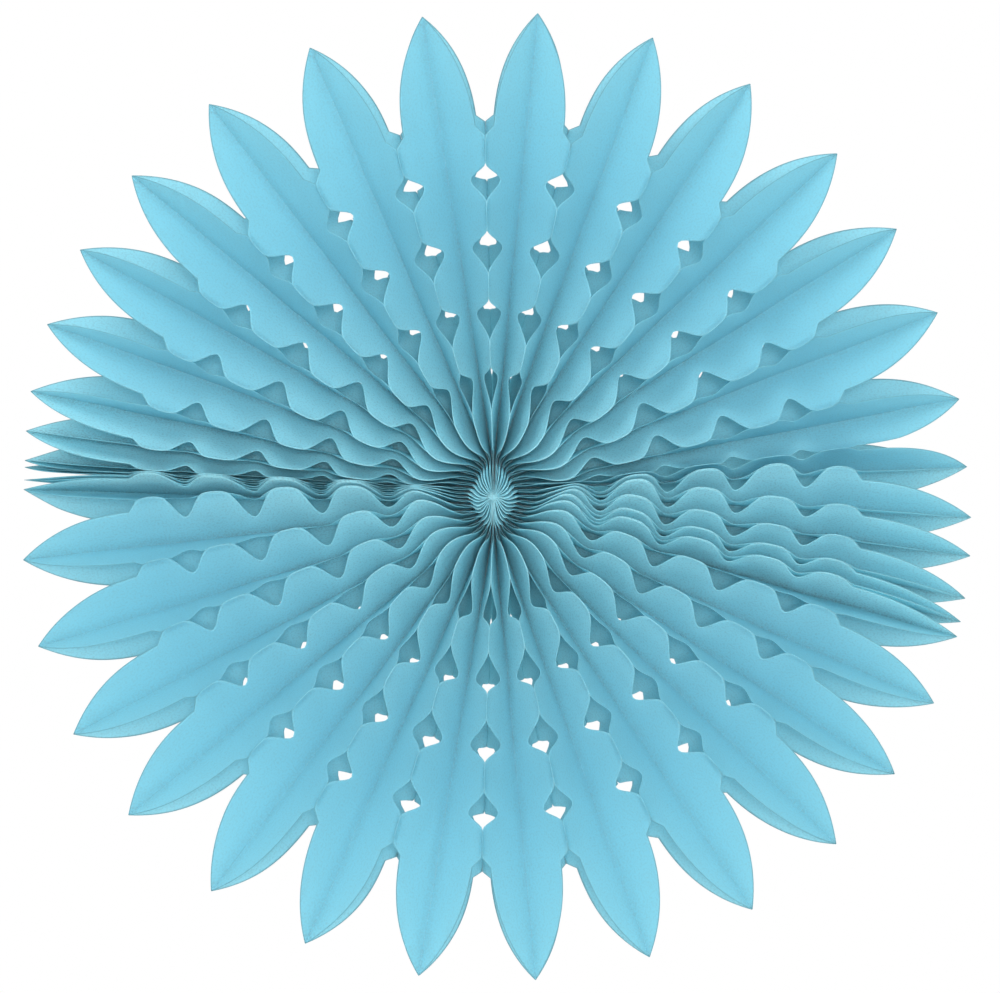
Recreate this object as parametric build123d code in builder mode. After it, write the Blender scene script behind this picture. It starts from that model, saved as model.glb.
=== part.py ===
"""Paper fan rosette: die-cut tissue sheets glued face to face, fanned out round their middle.

Millimetres, front toward -Y, +Z up. The origin is the middle of the sheet stack, at mid depth.
Every sheet is one strip of tissue with a pointed leaf at each end and half holes along its front
and back edges. It lies flat in the stack at the middle and runs out to both sides. Out there it is
folded along its mid line, where it is glued to the mate that shares its leaf. Its front and back
edges are glued to the other neighbour, and make the ridges between the leaves.
"""

import os
from math import copysign, cos, radians, sin, sqrt

from build123d import *

# The flat sheet
TIP_RADIUS = 250.0
HALF_WIDTH = 30.0
THICKNESS = 0.2
GLUE_GAP = 0.16

# The holes along each edge, from the innermost out
HOLE_DEPTHS = (16.5, 17.5, 15.5, 11.5)
FIRST_HOLE = 50.0
HOLE_PITCH = 36.0
HOLE_LENGTH = 18.0
HOLE_STEEP = 5.5

# The leaf at each end
NOTCH_RADIUS = 190.0
SHOULDER_LENGTH = 4.4
SHOULDER_DEPTH = 6.3
LEAF_BULGE = 2.6
LEAF_SIDE_STEPS = (0.0, 0.45, 0.8)

# The pinched stack at the middle: tall and slim, because the sheets stand a little apart in it
STACK_PITCH = 0.95
STACK_HALF_WIDTH = 5.0

# Opening of the fan: degrees from the top to the seams and to each leaf, down either side
RIGHT_SEAM_ANGLES = (-1.44, 181.9)
RIGHT_LEAF_ANGLES = (
    4.8, 18.0, 30.4, 43.5, 55.1, 66.7, 77.9, 86.4, 92.9, 97.8,
    103.2, 106.1, 108.0, 116.7, 126.5, 137.2, 149.5, 162.4, 175.5,
)  # fmt: skip
LEFT_SEAM_ANGLES = (1.44, 178.1)
LEFT_LEAF_ANGLES = (
    8.2, 21.4, 34.7, 47.1, 58.0, 68.0, 76.7, 81.8, 85.6, 86.5,
    88.0, 89.2, 98.1, 109.2, 120.8, 132.6, 145.8, 158.1, 171.4,
)  # fmt: skip
LEFT, RIGHT = -1, 1
OPENING_ANGLES = {
    LEFT: (LEFT_SEAM_ANGLES, LEFT_LEAF_ANGLES),
    RIGHT: (RIGHT_SEAM_ANGLES, RIGHT_LEAF_ANGLES),
}
SHEET_COUNT = 2 * len(RIGHT_LEAF_ANGLES)

# The leaf tips lie round a point a little to the right of the stack, and the leaves toward the
# sides reach less far, by this share, because their paper lies in waves
LEAF_CENTRE_X = 1.0
SIDE_LOSS = 0.03

# The opened fan leans toward the viewer above and below a line, which rises a little to the right
LEAN_ANGLE = 19.0
LEAN_LENGTH = 20.0
LEAN_LINE_RISE = 0.07
LEAN_LINE_ROUNDING = 30.0

FRONT, BACK = -1, 1
SHEET_PITCH = THICKNESS + GLUE_GAP
MIDDLE_NUMBER = (SHEET_COUNT - 1) / 2
STACK_HALF_HEIGHT = (MIDDLE_NUMBER + 1) * STACK_PITCH

# The facets of a wing fan out from points of its fold: one at the stack, then one below the inner
# end of every second hole. They change over at the deepest point of the hole between.
HOLE_STARTS = [FIRST_HOLE + hole * HOLE_PITCH for hole in range(len(HOLE_DEPTHS))]
FOLD_STATIONS = [STACK_HALF_WIDTH] + HOLE_STARTS[1::2]
FOLD_TURNS = [start + HOLE_STEEP for start in HOLE_STARTS[0::2]]


def lean(point):
    """A point of the flat rosette, carried to its place on the rosette that leans forward."""
    line_height = LEAN_LINE_RISE * (point.X + sqrt(point.X**2 + LEAN_LINE_ROUNDING**2)) / 2
    from_line = point.Z - line_height
    full_angle = radians(LEAN_ANGLE)
    bend_radius = LEAN_LENGTH / full_angle
    bent = min(abs(from_line), LEAN_LENGTH)
    straight = abs(from_line) - bent
    angle = bent / bend_radius
    forward = bend_radius * (1 - cos(angle)) + straight * sin(angle) - point.Y * cos(angle)
    outward = bend_radius * sin(angle) + straight * cos(angle) + point.Y * sin(angle)
    return Vector(point.X, -forward, line_height + copysign(outward, from_line))


def half_hole(start, depth):
    """One half hole as (distance from the middle, distance from the fold), steep on its inner side."""
    return [
        (start, HALF_WIDTH),
        (start + HOLE_STEEP, HALF_WIDTH - depth),
        (start + HOLE_LENGTH, HALF_WIDTH),
    ]


def leaf_side():
    """The convex side of the leaf, from its shoulder almost to the tip."""
    base = NOTCH_RADIUS + SHOULDER_LENGTH
    width = HALF_WIDTH - SHOULDER_DEPTH
    return [
        (base + step * (TIP_RADIUS - base), width * (1 - step**LEAF_BULGE))
        for step in LEAF_SIDE_STEPS
    ]


def cut_edge():
    """The die-cut edge of half a sheet, from the stack to the tip."""
    edge = [(STACK_HALF_WIDTH, HALF_WIDTH)]
    for start, depth in zip(HOLE_STARTS, HOLE_DEPTHS):
        edge += half_hole(start, depth)
    return edge + [(NOTCH_RADIUS, HALF_WIDTH)] + leaf_side() + [(TIP_RADIUS, 0.0)]


def unit(vector):
    return vector * (1 / vector.length)


class HalfSheet:
    """One side of a sheet: where its fold and its glued edges run, and where its paper lies."""

    def __init__(self, number, side):
        seam_angles, leaf_angles = OPENING_ANGLES[side]
        leaf, lower = divmod(number, 2)
        between = [(upper + next_down) / 2 for upper, next_down in zip(leaf_angles, leaf_angles[1:])]
        ridge_angles = [seam_angles[0]] + between + [seam_angles[1]]
        toward_ridge = 1 if lower else -1
        height = (MIDDLE_NUMBER - number) * STACK_PITCH
        taper = 1 - abs(height) / STACK_HALF_HEIGHT
        self.side = side
        self.stack_end = Vector(side * STACK_HALF_WIDTH * taper, 0, height)
        self.fold_run = self.run_to(leaf_angles[leaf], toward_ridge)
        self.ridge_run = self.run_to(ridge_angles[leaf + lower], -toward_ridge)
        self.up = unit(Vector(-self.fold_run.Z, 0, self.fold_run.X)) * side

    def run_to(self, angle, shift):
        """From the stack to a line at this angle, kept half a sheet pitch clear of it."""
        across, down = self.side * sin(radians(angle)), cos(radians(angle))
        reach = TIP_RADIUS * (1 - SIDE_LOSS * across**2)
        clearance = shift * SHEET_PITCH / 2
        end_x = LEAF_CENTRE_X + across * reach + self.side * down * clearance
        end_z = down * reach - abs(across) * clearance
        return Vector(end_x, 0, end_z) - self.stack_end

    def share(self, distance):
        return (distance - STACK_HALF_WIDTH) / (TIP_RADIUS - STACK_HALF_WIDTH)

    def arm(self, distance):
        """From the fold to the glued edge: the paper's half width, turned flatter further out."""
        reach = (self.ridge_run - self.fold_run) * self.share(min(distance, NOTCH_RADIUS))
        return reach, sqrt(HALF_WIDTH**2 - reach.length**2)

    def faces_of(self, distance, from_fold, wing):
        """The upper and lower face of the paper at a point of the outline."""
        reach, depth = self.arm(distance)
        middle = self.stack_end + self.fold_run * self.share(distance)
        middle += (reach + Vector(0, wing * depth, 0)) * (from_fold / HALF_WIDTH)
        half = THICKNESS / 2
        if distance == STACK_HALF_WIDTH:
            into_stack = Vector(0, 0, 1)
            offset = (self.up + into_stack) * (half / (1 + self.up.dot(into_stack)))
        elif from_fold == 0:
            offset = self.up * (half * HALF_WIDTH / depth)
        else:
            toward_fold = Vector(0, wing * reach.length, 0) * (1 if reach.dot(self.up) < 0 else -1)
            offset = (self.up * depth + toward_fold) * (half / HALF_WIDTH)
        return lean(middle + offset), lean(middle - offset)


def different(corners):
    """Whether three corners are apart, so that they span a facet."""
    return all((a - b).length for a, b in zip(corners, corners[1:] + corners[:1]))


def band(first, second):
    """Facets between two rows of as many points each."""
    facets = []
    for i in range(len(first) - 1):
        facets += [(first[i], second[i], first[i + 1]), (second[i], second[i + 1], first[i + 1])]
    return [corners for corners in facets if different(corners)]


def wing_facets(half_sheet, wing):
    """Both faces and the cut edge of one wing, the paper between the fold and a glued edge."""
    outline = cut_edge()
    edge = [half_sheet.faces_of(distance, width, wing) for distance, width in outline]
    fold = [half_sheet.faces_of(distance, 0.0, wing) for distance in FOLD_STATIONS]
    facets = band([pair[0] for pair in edge], [pair[1] for pair in edge])
    for face in (0, 1):
        station = 0
        for i in range(len(edge) - 1):
            if station < len(FOLD_TURNS) and outline[i][0] == FOLD_TURNS[station]:
                facets.append((fold[station][face], fold[station + 1][face], edge[i][face]))
                station += 1
            facets.append((fold[station][face], edge[i][face], edge[i + 1][face]))
    return facets


def stack_facets(left, right):
    """The flat middle of a sheet, in the stack, between its two sides."""
    loops = []
    for half_sheet in (left, right):
        front = half_sheet.faces_of(STACK_HALF_WIDTH, HALF_WIDTH, FRONT)
        middle = half_sheet.faces_of(STACK_HALF_WIDTH, 0.0, FRONT)
        back = half_sheet.faces_of(STACK_HALF_WIDTH, HALF_WIDTH, BACK)
        loops.append([front[0], middle[0], back[0], back[1], middle[1], front[1], front[0]])
    return band(*loops)


def folded_sheet(number):
    """One whole sheet as a solid of flat facets, bent only at its fold and at the stack."""
    left, right = HalfSheet(number, LEFT), HalfSheet(number, RIGHT)
    facets = stack_facets(left, right)
    for half_sheet in (left, right):
        for wing in (FRONT, BACK):
            facets += wing_facets(half_sheet, wing)
    return Solid(Shell([Face(Wire.make_polygon(corners)) for corners in facets]))


os.makedirs("parts", exist_ok=True)

for number in range(SHEET_COUNT):
    with BuildPart() as sheet:
        add(folded_sheet(number))
    sheet.part.label = f"sheet_{number + 1:02d}"
    export_step(sheet.part, f"parts/{sheet.part.label}.step")
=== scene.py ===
"""Looks of the paper fan rosette: fine tissue sheets in place of the faceted ones, a paper finish,
soft light, and a camera in front.

Metres, front toward -Y, +Z up. The origin is the middle of the stack of sheets, at mid depth.
"""

from math import ceil, copysign, cos, exp, pi, radians, sin, sqrt

import bmesh
import bpy
from mathutils import Matrix, Vector, noise


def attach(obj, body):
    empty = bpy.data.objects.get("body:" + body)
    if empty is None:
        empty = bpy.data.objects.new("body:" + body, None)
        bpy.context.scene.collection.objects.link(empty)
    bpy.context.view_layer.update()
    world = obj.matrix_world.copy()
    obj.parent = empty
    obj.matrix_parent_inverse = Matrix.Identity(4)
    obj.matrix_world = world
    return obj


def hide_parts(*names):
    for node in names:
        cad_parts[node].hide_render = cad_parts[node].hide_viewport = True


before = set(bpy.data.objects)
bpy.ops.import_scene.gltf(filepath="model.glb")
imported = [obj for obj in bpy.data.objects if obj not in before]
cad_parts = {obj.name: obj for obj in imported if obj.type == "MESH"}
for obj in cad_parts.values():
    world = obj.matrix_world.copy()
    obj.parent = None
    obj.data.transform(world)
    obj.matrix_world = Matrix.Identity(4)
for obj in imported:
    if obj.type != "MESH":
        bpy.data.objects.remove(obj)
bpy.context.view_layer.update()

MM = 0.001

# The flat sheet, whose mesh stops a little short of the leaf's tip
TIP_RADIUS = 250 * MM
TIP_CUT = 0.1 * MM
HALF_WIDTH = 30 * MM
SHEET_PITCH = 0.115 * MM
PAPER_THICKNESS = 0.1 * MM

# The wavy cut along each edge: crests that stand a little past the glue, and half holes between
# them. The half holes of the back edge are shallower and narrower, and the innermost is closed.
CRESTS = (6 * MM, 36 * MM, 76.5 * MM, 112.5 * MM, 149.5 * MM, 183 * MM)
CREST_HEIGHT = 3 * MM
FRONT_BOTTOMS = (19 * MM, 57.5 * MM, 93 * MM, 129 * MM, 165.5 * MM)
FRONT_DEPTHS = (11 * MM, 18 * MM, 19 * MM, 17 * MM, 13 * MM)
FRONT_BREADTH = 1.6
FRONT_CUT = (FRONT_BOTTOMS, FRONT_DEPTHS, FRONT_BREADTH)
BACK_BOTTOMS = (19 * MM, 50 * MM, 89 * MM, 125 * MM, 162 * MM)
BACK_DEPTHS = (-1 * MM, 3 * MM, 11.5 * MM, 11 * MM, 10.5 * MM)
BACK_BREADTH = 3.0
BACK_CUT = (BACK_BOTTOMS, BACK_DEPTHS, BACK_BREADTH)

# Sheets with a high or low start on the spindle show their cut pattern nearer the middle: by this
# share of the height of the start, over these distances in and out
CUT_SHIFT = 0.5
CUT_SHIFT_IN = (5 * MM, 12 * MM)
CUT_SHIFT_OUT = (15 * MM, 45 * MM)

# The leaf at each end
NOTCH_RADIUS = 190 * MM
SHOULDER_LENGTH = 4.4 * MM
SHOULDER_DEPTH = 6.3 * MM
LEAF_BASE = NOTCH_RADIUS + SHOULDER_LENGTH
LEAF_BULGE = 2.3

# Opening of the fan: degrees from the top to the seams and to each leaf, down either side
RIGHT_SEAMS = (-1.44, 181.9)
RIGHT_LEAVES = (
    4.8, 18.0, 30.4, 43.5, 55.1, 66.7, 77.9, 86.4, 92.9, 97.8,
    103.2, 106.1, 108.0, 116.7, 126.5, 137.2, 149.5, 162.4, 175.5,
)  # fmt: skip
LEFT_SEAMS = (1.44, 178.1)
LEFT_LEAVES = (
    8.2, 21.4, 34.7, 47.1, 58.0, 68.0, 76.7, 81.8, 85.6, 86.5,
    88.0, 89.2, 98.1, 109.2, 120.8, 132.6, 145.8, 158.1, 171.4,
)  # fmt: skip
LEFT, RIGHT = -1, 1
OPENING = {LEFT: (LEFT_SEAMS, LEFT_LEAVES), RIGHT: (RIGHT_SEAMS, RIGHT_LEAVES)}
SHEET_COUNT = len(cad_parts)

# The middle: glued lines leave the pinched stack evenly, then run straight from a tall slim spindle
SPINDLE_PITCH = 0.95 * MM
SPINDLE_HALF_WIDTH = 5 * MM
HUB_LENGTH = 12 * MM
PINCH_RADIUS = SHEET_COUNT / 2 * SHEET_PITCH

# The front edges curl over near the middle, each sheet by its own amount. The curl rises and fades
# between these distances from the middle, and from this share of the half width on.
CURL = 2.5 * MM
CURL_SWAY = 1.5 * MM
CURL_START = 8 * MM
CURL_END = 19 * MM
CURLED_SHARE = (0.78, 1.1)
CURL_SEEDS = (0.3, 5.1)

# Where the leaf tips lie: nearer the middle toward the sides, though the leaves are longer there
LEAF_CENTRE_X = 1 * MM
SIDE_LOSS = 0.03
SIDE_LEAF_STRETCH = 0.09

# The opened fan leans toward the viewer above and below a line that rises a little to both sides.
# The shift that the lean gives to the edges fades in between two distances from the middle.
LEAN_ANGLE = radians(19)
LEAN_LENGTH = 12.5 * MM
LINE_RISE_RIGHT = 0.125
LINE_RISE_LEFT = 0.045
LEAN_LINE_ROUNDING = 30 * MM
EDGE_SHIFT_IN = (12 * MM, 45 * MM)

# Along that line the sheets are bowed, with their front and back edges higher than their folds
BOW = 5 * MM
BOW_SPREAD = 22 * MM
BOW_IN = (5 * MM, 60 * MM)

# How the wings curve between the glued lines, and how the lines wander
WING_BULGE = 0.18
WANDER = 0.5 * MM
WANDER_BENDS = 28
WANDER_SEEDS = (3.7, 11.3)

# Mesh steps along half a sheet, and across one wing from its fold to its edge
STEP_ALONG = 1.8 * MM
ACROSS = (0.0, 0.04, 0.2, 0.36, 0.52, 0.68, 0.82, 0.92, 1.0)

# Paper colours where the tissue lies thin and where it lies thick, on either side of a sheet
OPEN_SIDE = ((0.23, 0.55, 0.68, 1), (0.28, 0.63, 0.75, 1))
# Inside the cells a lighter, greyer copy of the paper: painted light that lifts the shade there
PAINTED_LIGHTER_CELL_SIDE = ((0.34, 0.69, 0.79, 1), (0.4, 0.77, 0.87, 1))
# A lighter colour painted into the narrow folds: painted light that lifts their shade
PAINTED_FOLD_LIGHT_COLOUR = (0.5, 0.88, 0.95, 1)
# The dark colour of the painted shade along the folds, also used for the grain's darker specks
PAINTED_SHADE_AND_GRAIN_COLOUR = (0.2, 0.32, 0.35, 1)
OUTLINE_COLOUR = (0.07, 0.2, 0.25, 1)
GLOW_COLOUR = (0.6, 0.9, 0.95, 1)

# How far the painted fold shade and the outline reach, and which folds get painted light
FOLD_SHADE = 7 * MM
FOLD_SHADE_SWAY = 0.6 * MM
PAINTED_FOLD_LIGHT_OPENING = (0.05, 0.62)
OUTLINE_WIDTH = (0.3 * MM, 1.0 * MM)
OUTLINE_IN = (180 * MM, 195 * MM)

# Room and lamps: name, place in metres, width in metres and watts
GROUND_SIZE = 6
FLOOR_HEIGHT = -0.7
BACKDROP_DEPTH = 2.5
ROOM_LIGHT = 0.85
LAMPS = (
    ("key", (-0.5, -1.6, 1.6), 1.2, 16),
    ("front", (0.1, -2.2, 0.1), 0.6, 28),
)

# Camera
CAMERA_DISTANCE = 1.12
CAMERA_X = 3.4 * MM
RADIUS_IN_PIXELS = 476
IMAGE_WIDTH = 1000
SENSOR_WIDTH = 36.0


def smooth(low, high, value):
    """0 below low, 1 above high, and a soft step between."""
    t = min(max((value - low) / (high - low), 0.0), 1.0)
    return t * t * (3 - 2 * t)


def lean(point):
    """A point of the flat rosette, carried to its place on the rosette that leans forward."""
    rise = LINE_RISE_RIGHT if point.x > 0 else LINE_RISE_LEFT
    line_height = rise * (sqrt(point.x**2 + LEAN_LINE_ROUNDING**2) - LEAN_LINE_ROUNDING)
    from_line = point.z - line_height
    bend_radius = LEAN_LENGTH / LEAN_ANGLE
    bent = min(abs(from_line), LEAN_LENGTH)
    straight = abs(from_line) - bent
    angle = bent / bend_radius
    forward = bend_radius * (1 - cos(angle)) + straight * sin(angle) - point.y * cos(angle)
    from_axis = sqrt(point.x**2 + point.z**2)
    outward = bend_radius * sin(angle) + straight * cos(angle)
    outward += point.y * sin(angle) * smooth(*EDGE_SHIFT_IN, from_axis)
    bow = BOW * (point.y / HALF_WIDTH) ** 2 * exp(-((from_line / BOW_SPREAD) ** 2))
    bow *= smooth(*BOW_IN, abs(point.x))
    return Vector((point.x, -forward, line_height + bow + copysign(outward, from_line)))


def wavy_width(distance, cut):
    """The distance from the fold to the wavy edge: broad crests, and holes with a round bottom."""
    bottoms, depths, breadth = cut
    top = HALF_WIDTH + CREST_HEIGHT
    if distance <= CRESTS[0]:
        return top - CREST_HEIGHT * (1 - distance / CRESTS[0])
    for inner, bottom, outer, depth in zip(CRESTS, bottoms, CRESTS[1:], depths):
        if inner <= distance <= outer:
            crest = inner if distance < bottom else outer
            toward_bottom = (distance - crest) / (bottom - crest)
            return top - (CREST_HEIGHT + depth) * sin(pi / 2 * toward_bottom**breadth) ** 2
    return top - CREST_HEIGHT * ((distance - CRESTS[-1]) / (NOTCH_RADIUS - CRESTS[-1])) ** 2


def half_width(distance, cut):
    """The distance from the fold to the cut edge."""
    if distance <= NOTCH_RADIUS:
        return wavy_width(distance, cut)
    if distance <= LEAF_BASE:
        return HALF_WIDTH - SHOULDER_DEPTH * (distance - NOTCH_RADIUS) / SHOULDER_LENGTH
    step = (distance - LEAF_BASE) / (TIP_RADIUS - LEAF_BASE)
    return (HALF_WIDTH - SHOULDER_DEPTH) * (1 - step**LEAF_BULGE)


def line_angles(side):
    """Degrees from the top of the glued lines down one side: seam, leaf, ridge, leaf and so on."""
    seams, leaves = OPENING[side]
    angles = [seams[0]]
    for leaf, below in zip(leaves, leaves[1:]):
        angles += [leaf, (leaf + below) / 2]
    return angles + [leaves[-1], seams[1]]


class GluedLine:
    """The plan of one line along which two sheets are glued, as one of them follows it."""

    def __init__(self, number, side, degrees, sheet):
        half_count = SHEET_COUNT / 2
        level = half_count - number
        sheet_level = half_count - 0.5 - sheet
        angle = radians(degrees)
        even = number / SHEET_COUNT * pi
        across = side * sin(angle)
        reach = TIP_RADIUS * (1 - SIDE_LOSS * across**2)
        tip = Vector((LEAF_CENTRE_X + across * reach, 0, cos(angle) * reach))
        start_x = side * SPINDLE_HALF_WIDTH * (1 - abs(level) / half_count)
        pinch_x = side * (half_count - abs(sheet_level)) * SHEET_PITCH
        self.is_seam = number in (0, SHEET_COUNT)
        self.wander_seed = Vector((0, WANDER_SEEDS[0] * number, WANDER_SEEDS[1] * side))
        self.start = Vector((start_x, 0, level * SPINDLE_PITCH))
        self.slope = (tip - self.start) / (TIP_RADIUS - SPINDLE_HALF_WIDTH)
        self.leaf_stretch = SIDE_LEAF_STRETCH * across**2
        self.down = Vector((-self.slope.z, 0, self.slope.x)).normalized() * -side
        self.offset = self.down * copysign(SHEET_PITCH / 2, sheet + 0.5 - number)
        self.pinch = Vector((pinch_x, 0, sheet_level * SHEET_PITCH))
        self.leaving = Vector((side * sin(even), 0, cos(even)))

    def on_cut(self, distance):
        """The place on the cut pattern, which shows nearer the middle on tall spindle ends."""
        near_middle = smooth(*CUT_SHIFT_IN, distance) * (1 - smooth(*CUT_SHIFT_OUT, distance))
        return distance + CUT_SHIFT * abs(self.start.z) * near_middle

    def straight(self, distance):
        """A point of the straight run, which is drawn out a little along the leaf."""
        along = distance + self.leaf_stretch * max(distance - NOTCH_RADIUS, 0)
        return self.start + self.offset + self.slope * (along - SPINDLE_HALF_WIDTH)

    def out_of_stack(self, distance):
        """A point of the curve that leaves the pinched stack and joins the straight run."""
        length = HUB_LENGTH - PINCH_RADIUS
        t = (distance - PINCH_RADIUS) / length
        joined = self.straight(HUB_LENGTH)
        place = self.pinch * (1 - 3 * t**2 + 2 * t**3) + joined * (3 * t**2 - 2 * t**3)
        heading = self.leaving * (t - 2 * t**2 + t**3) + self.slope * (t**3 - t**2)
        return place + heading * length

    def at(self, distance):
        """The point of the line at a distance from the middle."""
        if distance < HUB_LENGTH:
            return self.out_of_stack(distance)
        place = self.straight(distance)
        if not self.is_seam:
            sway = noise.noise(self.wander_seed + Vector((distance * WANDER_BENDS, 0, 0)))
            place += self.down * sway * WANDER * smooth(HUB_LENGTH, 2 * HUB_LENGTH, distance)
        return place


class HalfSheet:
    """One side of a sheet, between the glued line above it and the one below it."""

    def __init__(self, number, side):
        angles = line_angles(side)
        lines = [GluedLine(line, side, angles[line], number) for line in (number, number + 1)]
        curl_seed = Vector((number * CURL_SEEDS[0], CURL_SEEDS[1] * side, 0))
        self.ridge, self.fold = lines if number % 2 == 0 else reversed(lines)
        self.turning = self.fold.down * abs(self.fold.slope.x)
        self.curl = CURL + CURL_SWAY * noise.noise(curl_seed)

    def reach(self, distance):
        """From the fold to the ridge."""
        held = min(distance, NOTCH_RADIUS)
        return self.ridge.at(held) - self.fold.at(held)

    def place(self, distance, from_fold):
        """Where the paper lies, at a distance from the middle and from the fold.

        The distance from the fold is negative on the front side.
        """
        fold = self.fold.at(distance)
        reach = self.reach(distance)
        depth = sqrt(HALF_WIDTH**2 - reach.length_squared)
        u = min(abs(from_fold) / HALF_WIDTH, 1.0)
        past_glue = max(abs(from_fold) - HALF_WIDTH, 0.0)
        curved = u + WING_BULGE * u * (1 - u)
        point = fold + reach * curved
        point += Vector((0, copysign(depth * u + past_glue, from_fold), 0))
        rising = smooth(0, CURL_START, distance)
        fading = 1 - smooth(CURL_START, CURL_END, distance)
        curl = self.curl * rising * fading * smooth(*CURLED_SHARE, -from_fold / HALF_WIDTH)
        return lean(point + self.turning * curl)


def stations():
    """Distances from the middle where a half sheet has points, with its cut corners among them."""
    corners = {PINCH_RADIUS, HUB_LENGTH, NOTCH_RADIUS, LEAF_BASE, TIP_RADIUS - TIP_CUT}
    corners = sorted(corners.union(CRESTS, FRONT_BOTTOMS))
    found = []
    for low, high in zip(corners, corners[1:]):
        count = ceil((high - low) / STEP_ALONG)
        found += [low + (high - low) * i / count for i in range(count)]
    return found + [corners[-1]]


def sheet_mesh(number, name):
    """The paper of one sheet, with its flat measures, from leaf tip to leaf tip."""
    sides = {side: HalfSheet(number, side) for side in (LEFT, RIGHT)}
    out = stations()
    columns = [(LEFT, d) for d in reversed(out)] + [(RIGHT, d) for d in out]
    across = [-u for u in reversed(ACROSS[1:])] + list(ACROSS)
    work = bmesh.new()
    bmesh.ops.create_grid(work, x_segments=len(columns) - 1, y_segments=len(across) - 1, size=0.5)
    paper = work.loops.layers.uv.new("paper")
    to_edge = work.verts.layers.float.new("to_edge")
    opening = work.verts.layers.float.new("opening")
    flat = {}
    for vertex in work.verts:
        side, distance = columns[round((vertex.co.x + 0.5) * (len(columns) - 1))]
        share = across[round((vertex.co.y + 0.5) * (len(across) - 1))]
        half_sheet = sides[side]
        cut = FRONT_CUT if share < 0 else BACK_CUT
        width = half_width(half_sheet.fold.on_cut(distance), cut)
        flat[vertex] = (side * distance, share * width)
        vertex[to_edge] = (1 - abs(share)) * width
        vertex[opening] = half_sheet.reach(distance).length / HALF_WIDTH
        vertex.co = half_sheet.place(distance, share * width)
    for edge in work.edges:
        along_fold = not any(flat[vertex][1] for vertex in edge.verts)
        edge.smooth = not along_fold
    for face in work.faces:
        face.smooth = True
        face.material_index = 1 - number % 2
        for loop in face.loops:
            loop[paper].uv = flat[loop.vert]
    mesh = bpy.data.meshes.new(name)
    work.to_mesh(mesh)
    work.free()
    return mesh


def fine_sheet(number, open_side, painted_lighter_cell_side):
    """One whole tissue sheet in place of its faceted node. Sheets lie open side up in turn."""
    name = f"tissue_{number + 1:02d}"
    mesh = sheet_mesh(number, name)
    mesh.materials.append(open_side)
    mesh.materials.append(painted_lighter_cell_side)
    sheet = bpy.data.objects.new(name, mesh)
    bpy.context.scene.collection.objects.link(sheet)
    thickness = sheet.modifiers.new("thickness", "SOLIDIFY")
    thickness.thickness = PAPER_THICKNESS
    thickness.offset = 0
    # One face of each sheet, the one inside the cells, takes the copy of the paper painted lighter
    thickness.material_offset = 1 if number % 2 else -1
    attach(sheet, "root")
    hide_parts(f"sheet_{number + 1:02d}")


class Value:
    """An output socket, on which sums, differences and products add their Math nodes."""

    def __init__(self, finish, socket):
        self.finish = finish
        self.socket = socket

    def math(self, operation, first, second):
        settings = {"operation": operation}
        return self.finish.node("ShaderNodeMath", settings, {0: first, 1: second})

    def __add__(self, other):
        return self.math("ADD", self, other)

    def __sub__(self, other):
        return self.math("SUBTRACT", self, other)

    def __rsub__(self, other):
        return self.math("SUBTRACT", other, self)

    def __mul__(self, other):
        return self.math("MULTIPLY", self, other)

    def __abs__(self):
        return self.math("ABSOLUTE", self, 0.0)

    __radd__ = __add__
    __rmul__ = __mul__


class Finish:
    """A material, and the ways to add nodes to it."""

    def __init__(self, name):
        self.material = bpy.data.materials.new(name)
        self.material.use_nodes = True
        self.tree = self.material.node_tree
        self.tree.nodes.clear()

    def node(self, kind, settings, sockets, output=0):
        """Adds a node: its settings first, then the values or links of its sockets."""
        made = self.tree.nodes.new(kind)
        for setting, value in settings.items():
            setattr(made, setting, value)
        for socket, value in sockets.items():
            if isinstance(value, Value):
                self.tree.links.new(value.socket, made.inputs[socket])
            else:
                made.inputs[socket].default_value = value
        return Value(self, made.outputs[output]) if made.outputs else None

    def ramp(self, value, low, high):
        """0 below low, 1 above high, and a soft step between."""
        settings = {"interpolation_type": "SMOOTHSTEP"}
        return self.node("ShaderNodeMapRange", settings, {0: value, 1: low, 2: high})

    def noise(self, vector, scale, detail=1.0):
        """Cloudy noise round 0, from about -1 to 1, at so many cells a metre."""
        sockets = {"Vector": vector, "Scale": scale, "Detail": detail, "Roughness": 0.6}
        return (self.node("ShaderNodeTexNoise", {}, sockets) - 0.5) * 2.0

    def stretched(self, vector, stretch):
        """The coordinates with one direction drawn out, for fibres and wrinkles."""
        return self.node("ShaderNodeMapping", {}, {"Vector": vector, "Scale": stretch})

    def mesh_value(self, name):
        """A number that the mesh carries at its points."""
        return self.node("ShaderNodeAttribute", {"attribute_name": name}, {}, 2)

    def mixed(self, factor, first, second):
        """A colour between two others."""
        return self.node("ShaderNodeMix", {"data_type": "RGBA"}, {0: factor, 6: first, 7: second}, 2)

    def surface(self, shader):
        """Puts the shader on the surface."""
        self.node("ShaderNodeOutputMaterial", {}, {"Surface": shader})


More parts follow.
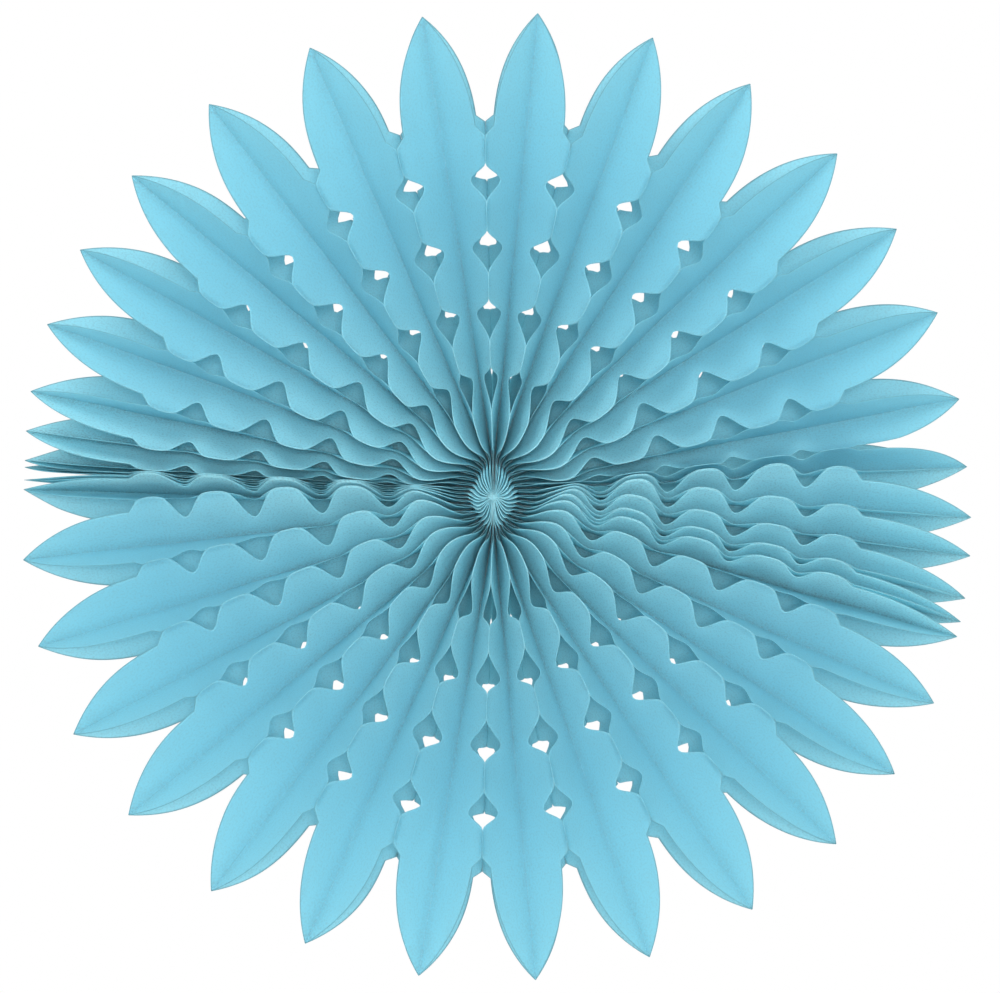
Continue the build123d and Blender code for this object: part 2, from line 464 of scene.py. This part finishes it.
def tissue_paper(name, thin, thick):
    """Pale blue tissue: matte, a little see-through, with a fine grain and painted shade in the
    folds.
    """
    finish = Finish(name)
    paper = finish.node("ShaderNodeUVMap", {"uv_map": "paper"}, {})
    from_middle = abs(finish.node("ShaderNodeSeparateXYZ", {}, {"Vector": paper}, 0))
    from_fold = abs(finish.node("ShaderNodeSeparateXYZ", {}, {"Vector": paper}, 1))
    to_edge = finish.mesh_value("to_edge")
    opening = finish.mesh_value("opening")

    grain = finish.noise(paper, 900.0)
    clouds = finish.noise(paper, 70.0)
    fibres = finish.noise(finish.stretched(paper, (0.18, 1.0, 1.0)), 3000.0, 0.0)
    wrinkles = finish.noise(finish.stretched(paper, (0.5, 1.0, 1.0)), 130.0)

    # Painted shade darkens the paper along each fold, and narrow folds are picked out for painted
    # light
    painted_fold_shade = 1 - finish.ramp(from_fold + grain * FOLD_SHADE_SWAY, 0.0, FOLD_SHADE)
    painted_narrow_fold_mask = 1 - finish.ramp(opening, *PAINTED_FOLD_LIGHT_OPENING)
    # How far to mix toward the dark colour: painted fold shade, plus cloudy tone and grain
    shade = painted_fold_shade * (painted_narrow_fold_mask * 0.25 + 0.14) + clouds * 0.06
    shade = shade + grain * (painted_narrow_fold_mask * 0.6 + 0.8) + (0.1 - painted_narrow_fold_mask * 0.08)
    paper_tone = finish.mixed(grain * 0.25 + fibres * 0.2 + 0.5, thin, thick)
    # Painted light: the narrow folds are mixed toward a paler colour
    soft = finish.mixed(painted_narrow_fold_mask * 0.9, paper_tone, PAINTED_FOLD_LIGHT_COLOUR)
    body = finish.mixed(shade, soft, PAINTED_SHADE_AND_GRAIN_COLOUR)
    past_notch = finish.ramp(from_middle, *OUTLINE_IN)
    outline = (1 - finish.ramp(to_edge, *OUTLINE_WIDTH)) * past_notch
    colour = finish.mixed(outline * 0.7, body, OUTLINE_COLOUR)

    height = wrinkles * 0.35
    relief = {"Strength": 0.5, "Distance": 1 * MM, "Height": height}
    bump = finish.node("ShaderNodeBump", {}, relief)
    looks = {
        "Base Color": colour,
        "Roughness": 0.85 + fibres * 0.05,
        "Specular IOR Level": 0.25,
        "Normal": bump,
    }
    sheet = finish.node("ShaderNodeBsdfPrincipled", {}, looks)
    glow = finish.node("ShaderNodeBsdfTranslucent", {}, {"Color": GLOW_COLOUR})
    finish.surface(finish.node("ShaderNodeMixShader", {}, {0: 0.5, 1: sheet, 2: glow}))
    return finish.material


def white_ground():
    """A pale floor that the camera sees as white."""
    finish = Finish("white_ground")
    seen = finish.node("ShaderNodeLightPath", {}, {}, 0)
    diffuse = finish.node("ShaderNodeBsdfDiffuse", {}, {"Color": (0.8, 0.8, 0.8, 1)})
    white = finish.node("ShaderNodeEmission", {}, {"Strength": 1.0})
    finish.surface(finish.node("ShaderNodeMixShader", {}, {0: seen, 1: diffuse, 2: white}))
    return finish.material


def ground_sheet(name, place, turn, material):
    """A large flat sheet of the room round the rosette."""
    work = bmesh.new()
    bmesh.ops.create_grid(work, x_segments=1, y_segments=1, size=GROUND_SIZE / 2)
    bmesh.ops.transform(work, matrix=Matrix.Translation(place) @ turn, verts=work.verts)
    mesh = bpy.data.meshes.new(name)
    work.to_mesh(mesh)
    work.free()
    mesh.materials.append(material)
    made = bpy.data.objects.new(name, mesh)
    bpy.context.scene.collection.objects.link(made)


def lamp(name, place, size, power):
    """A round soft lamp that points at the rosette."""
    data = bpy.data.lights.new(name, "AREA")
    data.shape = "DISK"
    data.size = size
    data.energy = power
    made = bpy.data.objects.new(name, data)
    made.location = place
    made.rotation_euler = (-Vector(place)).to_track_quat("-Z", "Y").to_euler()
    bpy.context.scene.collection.objects.link(made)


open_side = tissue_paper("tissue_open_side", *OPEN_SIDE)
# The faces inside the cells take a lighter, greyer copy of the paper, as painted light
painted_lighter_cell_side = tissue_paper("tissue_cell_side", *PAINTED_LIGHTER_CELL_SIDE)
for number in range(SHEET_COUNT):
    fine_sheet(number, open_side, painted_lighter_cell_side)

ground = white_ground()
upright = Matrix.Rotation(radians(90), 4, "X")
ground_sheet("floor", Vector((0, 0, FLOOR_HEIGHT)), Matrix.Identity(4), ground)
ground_sheet("backdrop", Vector((0, BACKDROP_DEPTH, 0)), upright, ground)

world = bpy.data.worlds.new("room")
bpy.context.scene.world = world
world.use_nodes = True
background = world.node_tree.nodes["Background"]
background.inputs["Color"].default_value = (1, 1, 1, 1)
background.inputs["Strength"].default_value = ROOM_LIGHT

for name, place, size, power in LAMPS:
    lamp(name, place, size, power)

camera_data = bpy.data.cameras.new("camera")
camera_data.sensor_width = SENSOR_WIDTH
camera_data.lens = SENSOR_WIDTH * RADIUS_IN_PIXELS / IMAGE_WIDTH * CAMERA_DISTANCE / TIP_RADIUS
camera = bpy.data.objects.new("camera", camera_data)
camera.location = (CAMERA_X, -CAMERA_DISTANCE, 0)
camera.rotation_euler = (radians(90), 0, 0)
bpy.context.scene.collection.objects.link(camera)
bpy.context.scene.camera = camera
bpy.context.scene.view_settings.view_transform = "Standard"
